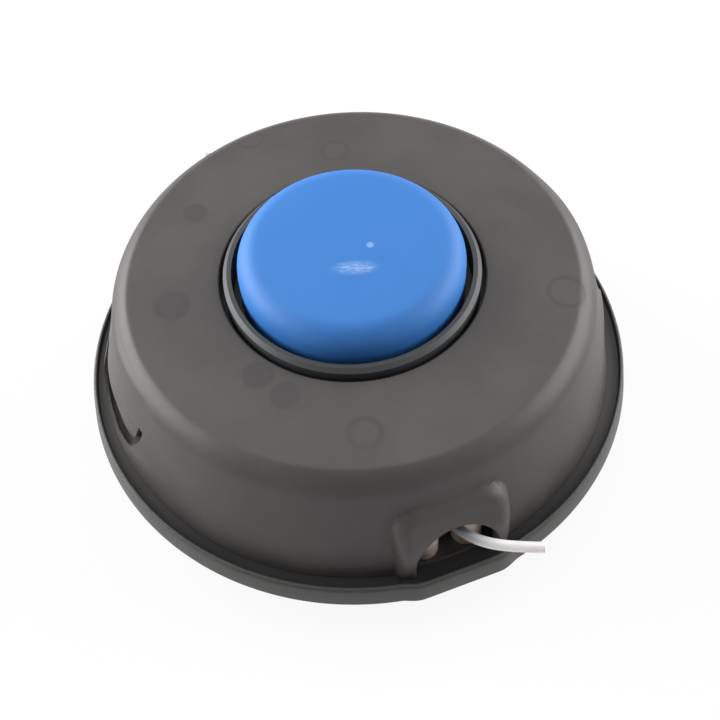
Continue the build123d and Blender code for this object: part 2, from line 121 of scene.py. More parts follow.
# Latch tabs in the cover wall, each on a pad that is rounded about an axis of its own
latch_angles = (pi / 2, 3 * pi / 2)
latch_reach = radians(26.0)
pad_axis_radius = 20.0
pad_proud = 0.2
pad_radius = bottom_radius + pad_proud - pad_axis_radius
pad_knee = ledge_top + 9.7
pad_crest = ledge_top + 23.7
pad_crest_radius = bottom_radius - wall_slope * (pad_crest - ledge_top) - pad_axis_radius
pad_taper = (pad_radius - pad_crest_radius) / (pad_crest - pad_knee)
pad_blend = 1.6
tab_half_width = 14.6
tab_foot = ledge_top + 5.4
tab_corner = 12.0
tab_straight = 0.2
tab_top = tab_foot + tab_corner + tab_straight
tab_slit = 1.8
tab_flush = ledge_top + 14.7
tab_step = 0.15
tab_face_radius = pad_radius - pad_taper * (tab_flush - pad_knee) - tab_step
lip_wall = 0.6
crevice_depth = 2.0
crevice_margin = 0.1
crevice_fade = 4.0
crevice_overlap = 0.2
slit_inward = 9.0
slit_outward = 6.0
hook_width = radians(10.0)
hook_height = 1.0
hook_reach = 2.6

# Cams that the spool steps on, under the cover's ceiling
cam_count = 6
cam_inner = 32.0
cam_outer = 40.0
cam_width = radians(14.0)
cam_height = 2.2
cover_cam_angle = radians(26.0)

# Rim of the base, with a straight lip in front of each outlet
flange_radius = 65.0
flange_foot = 12.0
rim_shoulder = 64.4
bead_outer = 64.0
bead_inner = 63.4
bead_foot = 63.25
bead_top = ledge_top + 1.5
core_inner = 58.8
core_outer = 62.8
core_top = flange_foot + 2.2
core_margin = 0.05
rim_round = 0.5
bead_round = 0.2
rim_overlap = 0.2
# Side towards the camera, where the painted shade on the ledge is darkest
ledge_shade_angle = radians(-18.0)
lip_flat = 8.5
lip_end = 14.0

# Cutting line: free ends and windings
line_diameter = 2.4
line_height = 26.0
line_route = ((46.9, -0.3), (56.2, 0.1), (61.8, 3.3), (66.0, 9.0), (69.1, 16.4))
winding_inner = 22.25
winding_outer = 40.8
winding_rows = 2
winding_turns = 7.0
winding_steps = 64

# Return spring
spring_radius = 13.2
spring_wire = 1.6
spring_turns = 6.0
spring_steps = 72

# Fineness of turned surfaces
plain_step = radians(1.25)
fine_step = radians(0.4)
wall_row = 0.8
arc_rows = 12


class Value:
    """A socket in a finish's node tree; arithmetic on it adds Math nodes."""

    def __init__(self, finish, socket):
        self.finish, self.socket = finish, socket

    def math(self, operation, first, second):
        return self.finish.node("ShaderNodeMath", {"operation": operation}, {0: first, 1: second})

    def __add__(self, other):
        return self.math("ADD", self, other)

    def __sub__(self, other):
        return self.math("SUBTRACT", self, other)

    def __rsub__(self, other):
        return self.math("SUBTRACT", other, self)

    def __mul__(self, other):
        return self.math("MULTIPLY", self, other)

    def __abs__(self):
        return self.math("ABSOLUTE", self, 0.0)

    __radd__ = __add__
    __rmul__ = __mul__


class Finish:
    """A surface finish: one Principled shader fed by expressions on Values."""

    def __init__(self, name, constants):
        self.material = bpy.data.materials.new(name)
        self.material.use_nodes = True
        self.tree = self.material.node_tree
        self.tree.nodes.clear()
        self.shader = self.tree.nodes.new("ShaderNodeBsdfPrincipled")
        output = self.tree.nodes.new("ShaderNodeOutputMaterial")
        self.tree.links.new(self.shader.outputs["BSDF"], output.inputs["Surface"])
        for socket, value in constants.items():
            self.shader.inputs[socket].default_value = value

    def node(self, kind, settings, sockets, output=0):
        """Add a node, settings first, then set or link its sockets; gives one output as a Value."""
        node = self.tree.nodes.new(kind)
        for setting, value in settings.items():
            setattr(node, setting, value)
        for socket, value in sockets.items():
            self.feed(node.inputs[socket], value)
        return Value(self, node.outputs[output])

    def feed(self, socket, value):
        """Link a Value to a socket, or set a plain number, colour or vector on it."""
        if isinstance(value, Value):
            self.tree.links.new(value.socket, socket)
        else:
            socket.default_value = value

    def place(self):
        """Position on the piece in metres."""
        return self.node("ShaderNodeTexCoord", {}, {}, "Object")

    def scaled(self, place, scale):
        """Place with each axis multiplied, for streaks and stretched grain."""
        return self.node("ShaderNodeVectorMath", {"operation": "MULTIPLY"}, {0: place, 1: scale})

    def noise(self, place, scale, detail=2.0, rough=0.5):
        """Cloudy pattern between 0 and 1."""
        sockets = {"Vector": place, "Scale": scale, "Detail": detail, "Roughness": rough}
        return self.node("ShaderNodeTexNoise", {}, sockets, "Fac")

    def ramp(self, value, low, high, start=0.0, stop=1.0):
        """Smooth step of a value from start at low to stop at high."""
        sockets = {"Value": value, "From Min": low, "From Max": high, "To Min": start, "To Max": stop}
        return self.node("ShaderNodeMapRange", {"interpolation_type": "SMOOTHSTEP"}, sockets)

    def blend(self, share, first, second):
        """Colour between two colours."""
        return self.node("ShaderNodeMix", {"data_type": "RGBA"}, {0: share, 6: first, 7: second}, 2)

    def away(self, place, point):
        """Distance from a point on the piece, in metres."""
        return self.node("ShaderNodeVectorMath", {"operation": "DISTANCE"}, {0: place, 1: point}, "Value")

    def bump(self, height, strength, distance):
        """Relief from a height pattern."""
        sockets = {"Height": height, "Strength": strength, "Distance": distance}
        self.feed(self.shader.inputs["Normal"], self.node("ShaderNodeBump", {}, sockets, "Normal"))

    def surface(self, socket, value):
        self.feed(self.shader.inputs[socket], value)


def mould_mark(finish, place, centre, radius, thickness):
    """1 on a mark left by the mould: a ring of some thickness, or else a disc."""
    out = finish.away(place, tuple(c * MM for c in centre))
    if thickness:
        return 1.0 - finish.ramp(abs(out - radius * MM), 0.0, thickness * MM)
    return 1.0 - finish.ramp(out, radius * 0.85 * MM, radius * 1.1 * MM)


def painted_ledge_shade(finish, place, inner, outer, level):
    """1 where shade is painted into the ledge ring round the axis, up to a level, strongest on the side that
    faces the camera.
    """
    out = finish.away(finish.scaled(place, (1.0, 1.0, 0.0)), (0.0, 0.0, 0.0))
    rise = finish.node("ShaderNodeSeparateXYZ", {}, {0: place}, "Z")
    past_inner = finish.ramp(out, inner - 0.5 * MM, inner)
    past_outer = finish.ramp(out, outer - 0.1 * MM, outer + 0.1 * MM)
    above = finish.ramp(rise, level + 0.1 * MM, level + 0.8 * MM)
    # The painted shade fades away from the camera side
    towards = (cos(ledge_shade_angle), sin(ledge_shade_angle), 0.0)
    side = finish.node("ShaderNodeVectorMath", {"operation": "DOT_PRODUCT"}, {0: place, 1: towards}, "Value")
    return past_inner * (1.0 - past_outer) * (1.0 - above) * finish.ramp(side, 0.25 * outer, 0.9 * outer)


def moulded_nylon(name, colour, paler, marks=(), ledge_shade_ring=None):
    """Satin black glass-filled nylon: grain, faint flow clouds, mould marks, and painted shade in a ring if
    asked.
    """
    finish = Finish(name, {"Specular IOR Level": 0.42, "IOR": 1.5})
    place = finish.place()
    grain = finish.noise(place, 2600.0, 3.0, 0.6)
    clouds = finish.noise(place, 55.0, 4.0, 0.6)
    specks = finish.ramp(finish.noise(place, 900.0, 1.0), 0.68, 0.78)
    streaks = finish.noise(finish.scaled(place, (90.0, 340.0, 160.0)), 1.0, 3.0, 0.7)
    rubs = finish.ramp(streaks, 0.66, 0.86)
    share = finish.ramp(clouds, 0.3, 0.75) * 0.5 + rubs * 0.35 + specks * 0.15
    rough = 0.44 + clouds * 0.12
    for centre, radius, thickness, depth in marks:
        mark = mould_mark(finish, place, centre, radius, thickness)
        patchy = mark * finish.ramp(clouds, 0.3, 0.6, 0.35, 1.0)
        share = share - patchy * depth
        rough = rough + patchy * 0.1
    tone = finish.blend(finish.ramp(share, -0.6, 1.0), colour, paler)
    # Painted shade: the ledge between the cover's foot and the bead is darkened to near black, mostly on the
    # camera side, and made rougher
    if ledge_shade_ring:
        ledge_shade = painted_ledge_shade(finish, place, *(size * MM for size in ledge_shade_ring))
        tone = finish.blend(ledge_shade, tone, (0.006, 0.006, 0.006, 1.0))
        rough = rough + ledge_shade * 0.35
    finish.surface("Base Color", tone)
    finish.surface("Roughness", rough)
    finish.bump(grain + clouds * 0.6, 0.16, 0.0002)
    return finish.material


def button_blue(name):
    """Semi-gloss blue, dulled on its crown by a patch of fine pale scratches."""
    finish = Finish(name, {"Specular IOR Level": 0.34, "IOR": 1.5})
    place = finish.place()
    clouds = finish.noise(place, 70.0, 4.0, 0.6)
    grain = finish.noise(place, 1800.0, 2.0)
    turned = finish.node(
        "ShaderNodeMapping", {"vector_type": "TEXTURE"},
        {"Vector": place, "Location": (0.0067, -0.0015, 0.0565), "Rotation": (0.0, 0.0, radians(71.0))},
    )
    patch = 1.0 - finish.ramp(
        finish.away(finish.scaled(turned, (1.0, 2.6, 0.2)), (0.0, 0.0, 0.0)), 0.0014, 0.0062
    )
    hairs = finish.noise(finish.scaled(turned, (420.0, 2200.0, 10.0)), 1.0, 4.0, 0.7)
    scratches = finish.ramp(hairs, 0.47, 0.62)
    speck = 1.0 - finish.ramp(finish.away(place, (0.002, 0.0038, 0.0568)), 0.0004, 0.0011)
    scuff = patch * (scratches * 0.5 + 0.2) + speck * 0.4
    colour = finish.blend(clouds, (0.026, 0.146, 0.45, 1.0), (0.036, 0.173, 0.49, 1.0))
    finish.surface("Base Color", finish.blend(scuff, colour, (0.42, 0.58, 0.86, 1.0)))
    finish.surface("Roughness", 0.5 + clouds * 0.1 + scuff * 0.2)
    finish.bump(grain * 0.4 + clouds, 0.05, 0.0004)
    return finish.material


def drawn_metal(name, colour, rough, stretch, metallic=1.0):
    """Metal with fine drawing lines along its length."""
    finish = Finish(name, {"Metallic": metallic})
    place = finish.place()
    lines = finish.noise(finish.scaled(place, stretch), 1.0, 3.0, 0.6)
    tarnish = finish.ramp(finish.noise(place, 220.0, 3.0), 0.35, 0.75)
    dull = tuple(c * 0.62 for c in colour[:3]) + (1.0,)
    finish.surface("Base Color", finish.blend(tarnish * 0.7, colour, dull))
    finish.surface("Roughness", rough + lines * 0.2 + tarnish * 0.1)
    finish.bump(lines, 0.06, 0.0001)
    return finish.material


def nylon_line(name):
    """Milky monofilament, a little see-through at its edges, with shade painted grey where it runs under the
    hood.
    """
    finish = Finish(name, {
        "Subsurface Weight": 0.25, "Subsurface Scale": 0.002, "Coat Weight": 0.3, "Coat Roughness": 0.15,
    })
    place = finish.place()
    streaks = finish.noise(finish.scaled(place, (300.0, 300.0, 1200.0)), 1.0, 3.0)
    # Painted shade: the line is grey out to 60 mm from the axis, under the hood, and turns milky by 66.5 mm
    out = finish.away(finish.scaled(place, (1.0, 1.0, 0.0)), (0.0, 0.0, 0.0))
    pale = finish.ramp(out, 0.0600, 0.0665)
    milky = finish.blend(streaks, (0.80, 0.80, 0.80, 1.0), (0.93, 0.93, 0.92, 1.0))
    finish.surface("Base Color", finish.blend(pale, (0.30, 0.30, 0.33, 1.0), milky))
    finish.surface("Roughness", 0.22 + streaks * 0.15)
    finish.bump(streaks, 0.05, 0.0002)
    return finish.material


# Mould marks on the crown: centre, radius, ring thickness (0 for a disc), depth
crown_level = cover_top - 0.6
crown_marks = (
    ((-6.3, -40.4, crown_level), 4.2, 0.0, 0.9),
    ((-6.3, -40.4, crown_level), 3.2, 0.7, 0.4),
    ((18.9, -28.6, crown_level), 3.6, 0.0, 0.45),
    ((25.9, -24.9, crown_level), 3.4, 0.0, 0.4),
    ((40.7, -12.6, crown_level), 3.4, 1.2, 0.45),
    ((23.2, 41.9, crown_level), 4.0, 0.9, 0.3),
    ((-30.8, -27.8, crown_level), 3.0, 0.0, 0.4),
    ((-49.2, -8.2, crown_level - 0.3), 3.0, 0.8, 0.3),
    ((-37.0, 9.5, crown_level), 3.2, 0.8, 0.3),
)

finishes = {
    "cover_plastic": moulded_nylon(
        "satin_cover_nylon", (0.027, 0.0245, 0.0235, 1.0), (0.060, 0.053, 0.050, 1.0), crown_marks),
    "housing_plastic": moulded_nylon(
        "satin_base_nylon", (0.026, 0.025, 0.024, 1.0), (0.055, 0.052, 0.049, 1.0),
        # Painted shade on the ledge, from just inside the cover's foot out to the bead, up to the ledge's
        # level
        ledge_shade_ring=(bottom_radius - 1.0, bead_foot, ledge_top)),
    "spool_plastic": moulded_nylon(
        "grey_spool_nylon", (0.024, 0.026, 0.028, 1.0), (0.045, 0.048, 0.051, 1.0)),
    "button_plastic": button_blue("blue_button_plastic"),
    "sleeve_metal": drawn_metal("warm_drawn_tube", (0.86, 0.70, 0.63, 1.0), 0.34, (500.0, 500.0, 60.0), 0.45),
    "line_nylon": nylon_line("milky_line_nylon"),
    "spring_steel": drawn_metal("spring_wire_steel", (0.46, 0.46, 0.47, 1.0), 0.28, (300.0, 300.0, 300.0)),
    "plated_steel": drawn_metal("zinc_plated_steel", (0.66, 0.66, 0.63, 1.0), 0.3, (260.0, 260.0, 260.0)),
}


def new_piece(name, points, faces):
    """Object at the origin from points in millimetres."""
    mesh = bpy.data.meshes.new(name)
    mesh.from_pydata([(x * MM, y * MM, z * MM) for x, y, z in points], [], faces)
    mesh.validate()
    piece = bpy.data.objects.new(name, mesh)
    bpy.context.collection.objects.link(piece)
    return piece


def settle(piece):
    """Turn what the modifiers give into the piece's own plain mesh."""
    graph = bpy.context.evaluated_depsgraph_get()
    mesh = bpy.data.meshes.new_from_object(piece.evaluated_get(graph))
    piece.modifiers.clear()
    piece.data = mesh


def smooth(piece, angle):
    """Shade smooth, with edges sharper than the angle kept crisp."""
    shape = bmesh.new()
    shape.from_mesh(piece.data)
    for face in shape.faces:
        face.smooth = True
    for edge in shape.edges:
        edge.smooth = len(edge.link_faces) == 2 and edge.calc_face_angle(0.0) < angle
    shape.to_mesh(piece.data)
    shape.free()


def join(name, pieces):
    """One piece from several closed ones."""
    shape = bmesh.new()
    for piece in pieces:
        shape.from_mesh(piece.data)
        bpy.data.objects.remove(piece)
    mesh = bpy.data.meshes.new(name)
    shape.to_mesh(mesh)
    shape.free()
    joined = bpy.data.objects.new(name, mesh)
    bpy.context.collection.objects.link(joined)
    return joined


def finish_piece(piece, nodes, crease=radians(32.0)):
    """Give a piece its finish and shading, and put it on its body in place of the nodes."""
    first = nodes[0]
    piece.data.materials.clear()
    piece.data.materials.append(finishes[NODE_SLOT[first]])
    if piece.type == "MESH":
        smooth(piece, crease)
    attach(piece, NODE_BODY[first])
    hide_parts(*nodes)
    return piece


def merged_copy(name, node):
    """The node's own solid as one joined mesh."""
    shape = bmesh.new()
    shape.from_mesh(bpy.data.objects[node].data)
    bmesh.ops.remove_doubles(shape, verts=shape.verts, dist=0.002 * MM)
    bmesh.ops.dissolve_degenerate(shape, edges=shape.edges, dist=0.001 * MM)
    mesh = bpy.data.meshes.new(name)
    shape.to_mesh(mesh)
    shape.free()
    piece = bpy.data.objects.new(name, mesh)
    bpy.context.collection.objects.link(piece)
    return piece


def soft_min(first, second, width):
    """Smaller of two, rounded over where they cross."""
    near = max(width - abs(first - second), 0.0) / width
    return min(first, second) - near * near * width / 4


def soft_max(first, second, width):
    """Larger of two, rounded over where they cross."""
    return -soft_min(-first, -second, width)


def turn_from(angle, middle):
    """Signed angle from a middle direction."""
    return (angle - middle + pi) % (2 * pi) - pi


def hood_front(height, inset):
    """Distance from the axis to a hood's front at a height, inset by a wall."""
    roof = hood_face - (height - hood_knee) * hood_roof_slope - inset * hypot(1, hood_roof_slope)
    over_brow = height + inset - hood_brow
    brow = hood_face - (hood_brow - hood_knee) * hood_roof_slope - over_brow * hood_brow_slope
    return soft_min(soft_min(hood_face - inset, roof, hood_knee_blend), brow, hood_brow_blend)


def hood_radius(turn, height, inset):
    """Radius at which a level ray meets a hood's front or side."""
    rounding = hood_inner_round if inset else hood_edge_round
    over_corner = min(max(height - hood_crest + hood_crest_round, 0.0), hood_crest_round)
    pulled_in = hood_crest_round - sqrt(hood_crest_round**2 - over_corner**2)
    flat = hood_half_width - inset - rounding - pulled_in
    front = hood_front(height, inset)
    near, far = 0.0, 2 * hood_face
    for _ in range(36):
        middle = (near + far) / 2
        over = abs(middle * sin(turn)) - flat
        if over <= 0:
            limit = front
        elif over < rounding:
            limit = front - rounding + sqrt(rounding * rounding - over * over)
        else:
            limit = 0.0
        if middle * cos(turn) < limit:
            near = middle
        else:
            far = middle
    return near


def round_pad(turn, radius):
    """Radius from the head's axis to an upright drum round a latch pad's own axis."""
    across = pad_axis_radius * sin(turn)
    return pad_axis_radius * cos(turn) + sqrt(radius * radius - across * across)


def in_tab(along, height):
    """Whether a place on the pad lies within the middle of the slit round its tab."""
    half, foot, corner = tab_half_width - tab_slit / 2, tab_foot + tab_slit / 2, tab_corner - tab_slit / 2
    if abs(along) > half or not foot < height < tab_top:
        return False
    past, below = abs(along) - (half - corner), foot + corner - height
    return past < 0 or below < 0 or hypot(past, below) < corner


def nearest_turn(angle, directions):
    """Signed angle from the nearest of several directions."""
    return min((turn_from(angle, direction) for direction in directions), key=abs)


def cover_swell(radius, height, angle, side):
    """Radius of the cover's wall at an angle: the dome, or a hood or latch pad where it stands proud."""
    outlet, latch = nearest_turn(angle, outlet_angles), nearest_turn(angle, latch_angles)
    if side and abs(outlet) < hood_reach and height < hood_crest + hood_root_blend:
        if side == "outer":
            return soft_max(radius, hood_radius(outlet, height, 0.0), hood_root_blend)
        return max(radius, hood_radius(outlet, height, hood_wall))
    if side == "outer" and abs(latch) < latch_reach and height < pad_crest + pad_blend / pad_taper:
        pad = round_pad(latch, pad_radius - pad_taper * max(height - pad_knee, 0.0))
        if in_tab(pad * sin(latch), height):
            return min(pad, round_pad(latch, tab_face_radius))
        return soft_max(radius, pad, pad_blend)
    return radius


def outside_wall(z):
    """Outside radius of the leaning wall at a height."""
    return bottom_radius - wall_slope * (z - ledge_top)


def inside_wall(z):
    """Inside radius of the leaning wall at a height."""
    return outside_wall(z) - wall_across


def arc(centre, radius, start, stop, rows):
    """Points of an arc in a section, angles in radians."""
    steps = [start + (stop - start) * row / rows for row in range(rows + 1)]
    return [(centre[0] + radius * cos(a), centre[1] + radius * sin(a)) for a in steps]


def between(start, stop, shares):
    """Points on the straight line between two points of a section."""
    return [(start[0] + (stop[0] - start[0]) * s, start[1] + (stop[1] - start[1]) * s) for s in shares]


def shoulder_points(lean, fall):
    """Shoulder's arc, from the top of the leaning wall to the crease where the crown starts."""
    crease = pi / 2 - fall - shoulder_break
    rise = shoulder_fillet * (sin(crease) - sin(lean))
    run = shoulder_fillet * (cos(lean) - cos(crease))
    reach = bottom_radius + wall_slope * ledge_top - run - opening_radius
    wall_end = (cover_top - rise - reach * tan(fall)) / (1 - wall_slope * tan(fall))
    centre = (outside_wall(wall_end) - shoulder_fillet * cos(lean), wall_end - shoulder_fillet * sin(lean))
    points = arc(centre, shoulder_fillet, lean, crease, arc_rows)
    points.append((points[-1][0] - shoulder_crease, points[-1][1] + shoulder_crease * tan(fall)))
    return points


def cover_section():
    """Closed section of the cover, from the foot of its outside wall up, over and back inside."""
    lean = atan(wall_slope)
    fall = atan(crown_drop / (shoulder_radius - opening_radius))
    shoulder = shoulder_points(lean, fall)
    wall_end = shoulder[0][1]
    rows = ceil((wall_end - ledge_top) / wall_row)
    foot = ledge_top + foot_round
    levels = [foot + (wall_end - foot) * row / rows for row in range(rows)]
    outer = [(bottom_radius - foot_round, ledge_top)] + [(outside_wall(z), z) for z in levels] + shoulder

    crown_end = (opening_radius + opening_round, cover_top)
    crown = between(shoulder[-1], crown_end, [row / arc_rows for row in range(1, arc_rows)])
    edge = arc((crown_end[0], cover_top - opening_round), opening_round, pi / 2, pi, 5)
    inner_top = inside_wall(ceiling) - inner_fillet
    under = between((opening_radius, ceiling), (inner_top, ceiling), (0.0, 0.5, 1.0))

    corner = arc((inner_top, ceiling - inner_fillet), inner_fillet, pi / 2, lean, 5)[1:]
    corner_end = ceiling - inner_fillet
    levels = [corner_end + (ledge_top - corner_end) * row / rows for row in range(1, rows + 1)]
    inner = corner + [(inside_wall(z), z) for z in levels]
    sides = (("outer", outer), ("", crown + edge + under), ("inner", inner))
    return [(r, z, side) for side, points in sides for r, z in points]


def cover_angles():
    """Directions of the cover's columns, close together across the hoods and latch pads."""
    angles, angle = [], -hood_reach
    while angle < 2 * pi - hood_reach - fine_step / 2:
        angles.append(angle)
        outlet, latch = nearest_turn(angle, outlet_angles), nearest_turn(angle, latch_angles)
        fine = abs(outlet) < hood_reach or abs(latch) < latch_reach
        angle += fine_step if fine else plain_step
    return angles


def ring_shell(name, section, angles, swell):
    """Closed shell from a closed section carried round the axis."""
    rows, points, faces = len(section), [], []
    for angle in angles:
        for radius, height, side in section:
            r = swell(radius, height, angle, side)
            points.append((r * cos(angle), r * sin(angle), height))
    for i in range(len(angles)):
        j = (i + 1) % len(angles)
        for k in range(rows):
            after = (k + 1) % rows
            faces.append((i * rows + k, j * rows + k, j * rows + after, i * rows + after))
    return new_piece(name, points, faces)


def bar_faces(stations):
    """Faces of a closed bar whose four-cornered sections follow each other."""
    faces = [(0, 1, 2, 3), tuple(stations * 4 - 4 + k for k in (3, 2, 1, 0))]
    for step in range(stations - 1):
        for k in range(4):
            after = (k + 1) % 4
            faces.append((step * 4 + k, step * 4 + 4 + k, step * 4 + 4 + after, step * 4 + after))
    return faces


def sector_block(name, inner, outer, low, high, middle, width, steps=24):
    """Closed piece of a ring; inner and outer may be functions of height."""
    radius_in = inner if callable(inner) else lambda z: inner
    radius_out = outer if callable(outer) else lambda z: outer
    points = []
    for step in range(steps + 1):
        angle = middle + width * (step / steps - 0.5)
        for side, z in ((radius_out, low), (radius_out, high), (radius_in, high), (radius_in, low)):
            points.append((side(z) * cos(angle), side(z) * sin(angle), z))
    return new_piece(name, points, bar_faces(steps + 1))


def window_cutter(outlet):
    """Arched window's cutter, flared where it leaves the hood so that the edge is broken."""
    clear = 12.0
    outline = []
    for grow in (0.0, 2 * window_edge):
        reach = window_radius + grow
        arch = arc((0.0, window_spring), reach, pi, 0.0, 48)
        outline.append([(-reach, ledge_top - clear / 2)] + arch + [(reach, ledge_top - clear / 2)])
    stations = (
        lambda z: hood_face - clear, lambda z: hood_front(z, 0.0) - window_edge,
        lambda z: hood_front(z, 0.0) + window_edge, lambda z: hood_face + clear,
    )
    count, points, faces = len(outline[0]), [], []
    for index, station in enumerate(stations):
        for (y, z), (_, hood_z) in zip(outline[index // 2], outline[0]):
            x = station(max(hood_z, ledge_top))
            points.append((x * cos(outlet) - y * sin(outlet), x * sin(outlet) + y * cos(outlet), z))
    for index in range(len(stations) - 1):
        near, far = index * count, (index + 1) * count
        for k in range(count):
            after = (k + 1) % count
            faces.append((near + k, near + after, far + after, far + k))
    faces.append(tuple(range(count - 1, -1, -1)))
    faces.append(tuple(far + k for k in range(count)))
    return new_piece("window_cutter", points, faces)


def slit_rail(inset, drop):
    """One edge of the slit round a latch tab, seen along the latch, with its foot let down by a drop."""
    half, foot, corner = tab_half_width - inset, tab_foot + inset, tab_corner - inset
    left = arc((corner - half, foot + corner), corner, pi, 1.5 * pi, 2 * arc_rows)
    right = arc((half - corner, foot + corner), corner, 1.5 * pi, 2 * pi, 2 * arc_rows)
    rail = [(-half, tab_top)] + left + right + [(half, tab_top)]
    return [(y, z - drop * max(1.0 - (z - foot) / crevice_fade, 0.0)) for y, z in rail]


def slit_cutter(latch, near, far, outer_rail, inner_rail):
    """U-shaped cutter between two edges of a slit and two depths along the latch."""
    points = []
    for outer, inner in zip(outer_rail, inner_rail):
        for depth, (y, z) in ((near, outer), (far, outer), (far, inner), (near, inner)):
            x = depth(y)
            points.append((x * cos(latch) - y * sin(latch), x * sin(latch) + y * cos(latch), z))
    return new_piece("slit_cutter", points, bar_faces(len(outer_rail)))


def slit_cutters(latch):
    """The slit right through the wall round a tab, and the crevice behind the lip at its foot."""
    def flat(depth):
        return lambda across: depth

    def drum(radius):
        return lambda across: pad_axis_radius + sqrt(radius * radius - across * across)

    through = slit_cutter(
        latch, flat(bottom_radius - slit_inward), flat(bottom_radius + slit_outward),
        slit_rail(0.0, 0.0), slit_rail(tab_slit, 0.0))
    crevice = slit_cutter(
        latch, drum(tab_face_radius - crevice_overlap), drum(pad_radius - lip_wall),
        slit_rail(crevice_margin, crevice_depth), slit_rail(tab_slit - crevice_margin, 0.0))
    return [through, crevice]


def face_out(piece):
    """Point every face of closed shells outwards."""
    shape = bmesh.new()
    shape.from_mesh(piece.data)
    bmesh.ops.recalc_face_normals(shape, faces=shape.faces)
    shape.to_mesh(piece.data)
    shape.free()


def cut(piece, cutter):
    """Take the cutter away from the piece."""
    face_out(cutter)
    modifier = piece.modifiers.new("cut", "BOOLEAN")
    modifier.operation, modifier.solver, modifier.object = "DIFFERENCE", "EXACT", cutter
    modifier.use_self = True
    settle(piece)
    bpy.data.objects.remove(cutter)


def coil_tree():
    """Wire on a spiral path, laid in one or more rows along the axis."""
    tree = bpy.data.node_groups.new("wire_coil", "GeometryNodeTree")
    tree.is_modifier = True
    sizes = (
        ("Turns", "NodeSocketFloat"), ("Start Radius", "NodeSocketFloat"), ("End Radius", "NodeSocketFloat"),
        ("Rise", "NodeSocketFloat"), ("Wire", "NodeSocketFloat"), ("Foot", "NodeSocketFloat"),
        ("Rows", "NodeSocketInt"), ("Row Pitch", "NodeSocketFloat"), ("Steps", "NodeSocketInt"),
        ("Finish", "NodeSocketMaterial"),
    )
    for label, kind in sizes:
        tree.interface.new_socket(label, in_out="INPUT", socket_type=kind)
    tree.interface.new_socket("Geometry", in_out="OUTPUT", socket_type="NodeSocketGeometry")

    def node(kind, sockets, **settings):
        made = tree.nodes.new(kind)
        for setting, value in settings.items():
            setattr(made, setting, value)
        for label, value in sockets.items():
            if isinstance(value, bpy.types.NodeSocket):
                tree.links.new(value, made.inputs[label])
            else:
                made.inputs[label].default_value = value
        return made

    given = tree.nodes.new("NodeGroupInput").outputs
    path = node("GeometryNodeCurveSpiral", {
        "Resolution": given["Steps"], "Rotations": given["Turns"], "Start Radius": given["Start Radius"],
        "End Radius": given["End Radius"], "Height": given["Rise"],
    })
    half = node("ShaderNodeMath", {0: given["Wire"], 1: 0.5}, operation="MULTIPLY")
    round_wire = node("GeometryNodeCurvePrimitiveCircle", {"Resolution": 12, "Radius": half.outputs[0]})
    wire = node("GeometryNodeCurveToMesh", {
        "Curve": path.outputs["Curve"], "Profile Curve": round_wire.outputs["Curve"], "Fill Caps": True,
    })
    foot = node("ShaderNodeCombineXYZ", {"Z": given["Foot"]})
    pitch = node("ShaderNodeCombineXYZ", {"Z": given["Row Pitch"]})
    rows = node("GeometryNodeMeshLine", {
        "Count": given["Rows"], "Start Location": foot.outputs[0], "Offset": pitch.outputs[0],
    })
    laid = node("GeometryNodeInstanceOnPoints", {
        "Points": rows.outputs["Mesh"], "Instance": wire.outputs["Mesh"],
    })
    real = node("GeometryNodeRealizeInstances", {"Geometry": laid.outputs["Instances"]})
    dressed = node("GeometryNodeSetMaterial", {
        "Geometry": real.outputs["Geometry"], "Material": given["Finish"],
    })
    result = tree.nodes.new("NodeGroupOutput")
    tree.links.new(dressed.outputs["Geometry"], result.inputs["Geometry"])
    return tree


wire_coil = coil_tree()


def coil(name, node, sizes):
    """Plain mesh of a coil with the given sizes in millimetres, counts as they are."""
    piece = new_piece(name, [], [])
    modifier = piece.modifiers.new("coil", "NODES")
    modifier.node_group = wire_coil
    for item in wire_coil.interface.items_tree:
        if item.item_type == "SOCKET" and item.in_out == "INPUT" and item.name in sizes:
            value = sizes[item.name]
            counted = item.name in ("Turns", "Rows", "Steps")
            modifier[item.identifier] = value if counted else value * MM
        elif item.item_type == "SOCKET" and item.name == "Finish":
            modifier[item.identifier] = finishes[NODE_SLOT[node]]
    settle(piece)
    return finish_piece(piece, [node], radians(60.0))


# Cover: dome with hoods, cut for windows and latch tabs
cover = ring_shell("cover_dome", cover_section(), cover_angles(), cover_swell)
cutters = [window_cutter(outlet) for outlet in outlet_angles]
cutters += [cutter for latch in latch_angles for cutter in slit_cutters(latch)]
cut(cover, join("cutters", cutters))
inside = [cover]
for latch in latch_angles:
    inside.append(sector_block(
        "hook", lambda z: inside_wall(z) - hook_reach, lambda z: inside_wall(z) + side_wall / 2,
        tab_foot + tab_slit, tab_foot + tab_slit + hook_height, latch, hook_width))
for index in range(cam_count):
    inside.append(sector_block(
        "cam", cam_inner, cam_outer, ceiling - cam_height, ceiling + crown_wall / 3,
        cover_cam_angle + index * 2 * pi / cam_count, cam_width, 8))
for piece in inside[1:]:
    face_out(piece)
finish_piece(join("cover", inside), ["lower_cover"])


def rim_section():
    """Closed section of the rim, from the core groove under it over the bead to the ledge."""
    foot = arc((flange_radius - rim_round, flange_foot + rim_round), rim_round, -pi / 2, 0, 5)
    shoulder = arc((rim_shoulder - rim_round, bead_top - 3 * bead_round - rim_round), rim_round, 0, pi / 2, 5)
    outer_bead = arc((bead_outer - bead_round, bead_top - bead_round), bead_round, 0, pi / 2, 4)
    inner_bead = arc((bead_inner + bead_round, bead_top - bead_round), bead_round, pi / 2, pi, 4)
    section = [(core_inner, flange_foot), (core_inner, core_top)]
    section += [(core_outer, core_top), (core_outer, flange_foot)]
    section += foot + shoulder + [(bead_outer, shoulder[-1][1])] + outer_bead + inner_bead
    section += [(bead_foot, ledge_top), (bead_foot - rim_overlap, ledge_top - rim_overlap)]
    section += [(core_inner - rim_overlap, ledge_top - rim_overlap), (core_inner - rim_overlap, flange_foot)]
    return [(r, z, r > core_inner) for r, z in section]


